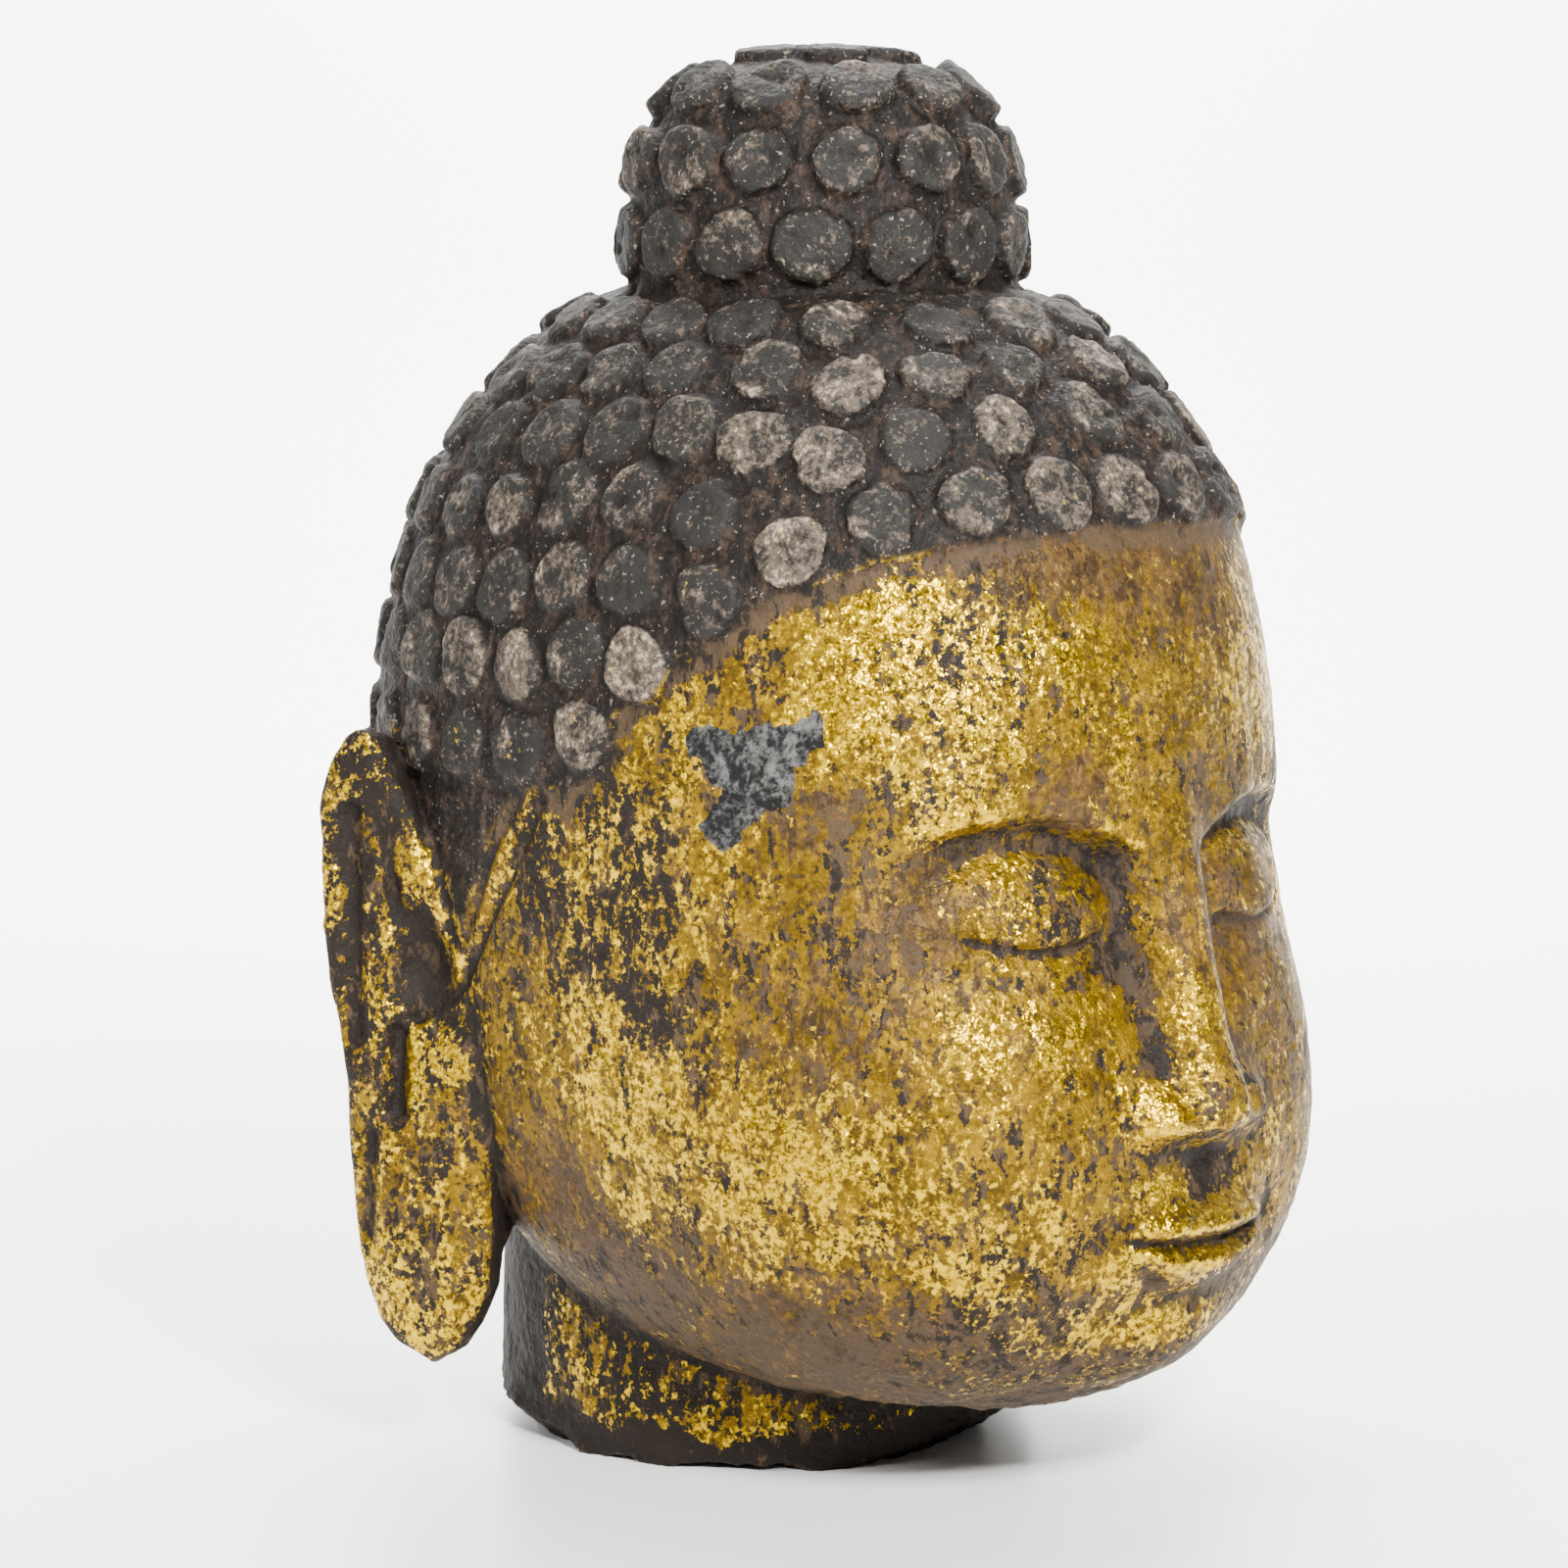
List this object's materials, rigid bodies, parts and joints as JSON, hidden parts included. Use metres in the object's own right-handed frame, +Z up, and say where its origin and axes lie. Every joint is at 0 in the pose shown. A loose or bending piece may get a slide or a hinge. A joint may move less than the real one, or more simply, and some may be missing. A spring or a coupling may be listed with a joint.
{
  "type": "buddha bust",
  "caption": "Carved stone buddha head with disc curls, a topknot and long ears, standing on its broken neck, with worn gilding over dark lacquer.",
  "frame": {"origin": "on the ground, under the middle of the head's bounding box", "axes": "+Z up, the face looks towards -Y, +X is the statue's left"},
  "size_m": [0.1968, 0.2317, 0.3118],
  "materials": {
    "gilt_stone": "carved stone under dark lacquer, the face, ears and neck leaf-gilt and worn, the hair left dark"
  },
  "bodies": {
    "root": {"buddha_head": "gilt_stone"}
  },
  "joints": []
}
